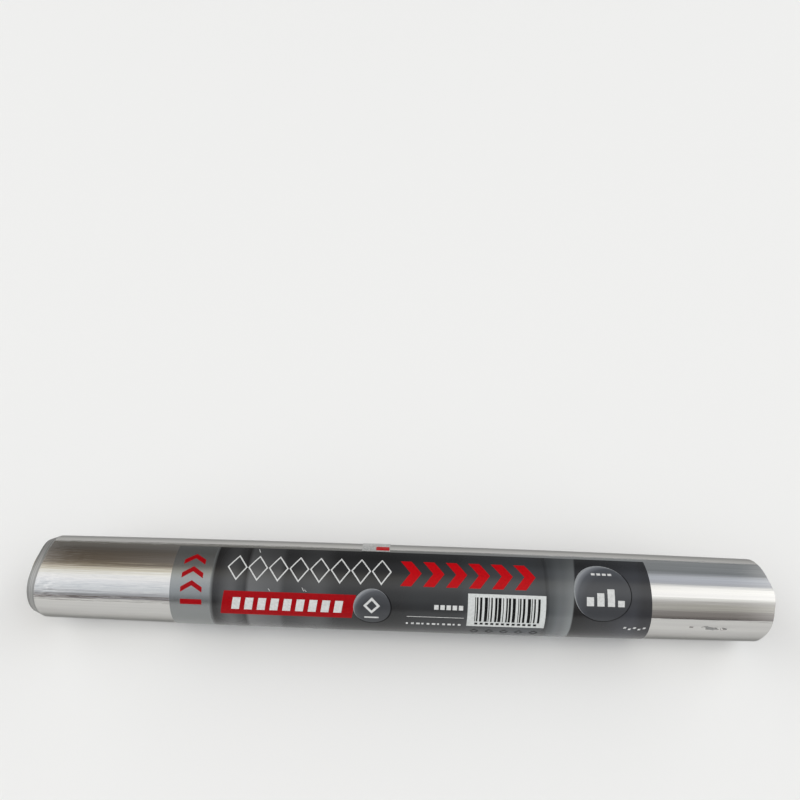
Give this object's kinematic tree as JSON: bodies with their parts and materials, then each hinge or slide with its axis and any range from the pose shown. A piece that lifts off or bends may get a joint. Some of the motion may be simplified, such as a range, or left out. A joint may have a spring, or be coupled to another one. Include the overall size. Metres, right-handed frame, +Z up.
{
  "type": "aluminium foil roll",
  "caption": "Roll of thick aluminium kitchen foil wound on a cardboard core, with a printed paper label wrapped around its middle and a strip of closing tape.",
  "frame": {"origin": "under the middle of the roll, at the level of the surface that it lies on", "axes": "+X along the roll, +Y to its back, +Z up"},
  "size_m": [0.2944, 0.0348, 0.0345],
  "materials": {
    "core_board": "grey-brown wound board, matt",
    "foil_metal": "bright rolled foil, near mirror",
    "label_paper": "printed dark grey, satin",
    "tape_film": "printed adhesive strip, satin"
  },
  "bodies": {
    "root": {"core_tube": "core_board", "foil": "foil_metal", "label": "label_paper", "closing_tape": "tape_film"}
  },
  "joints": []
}
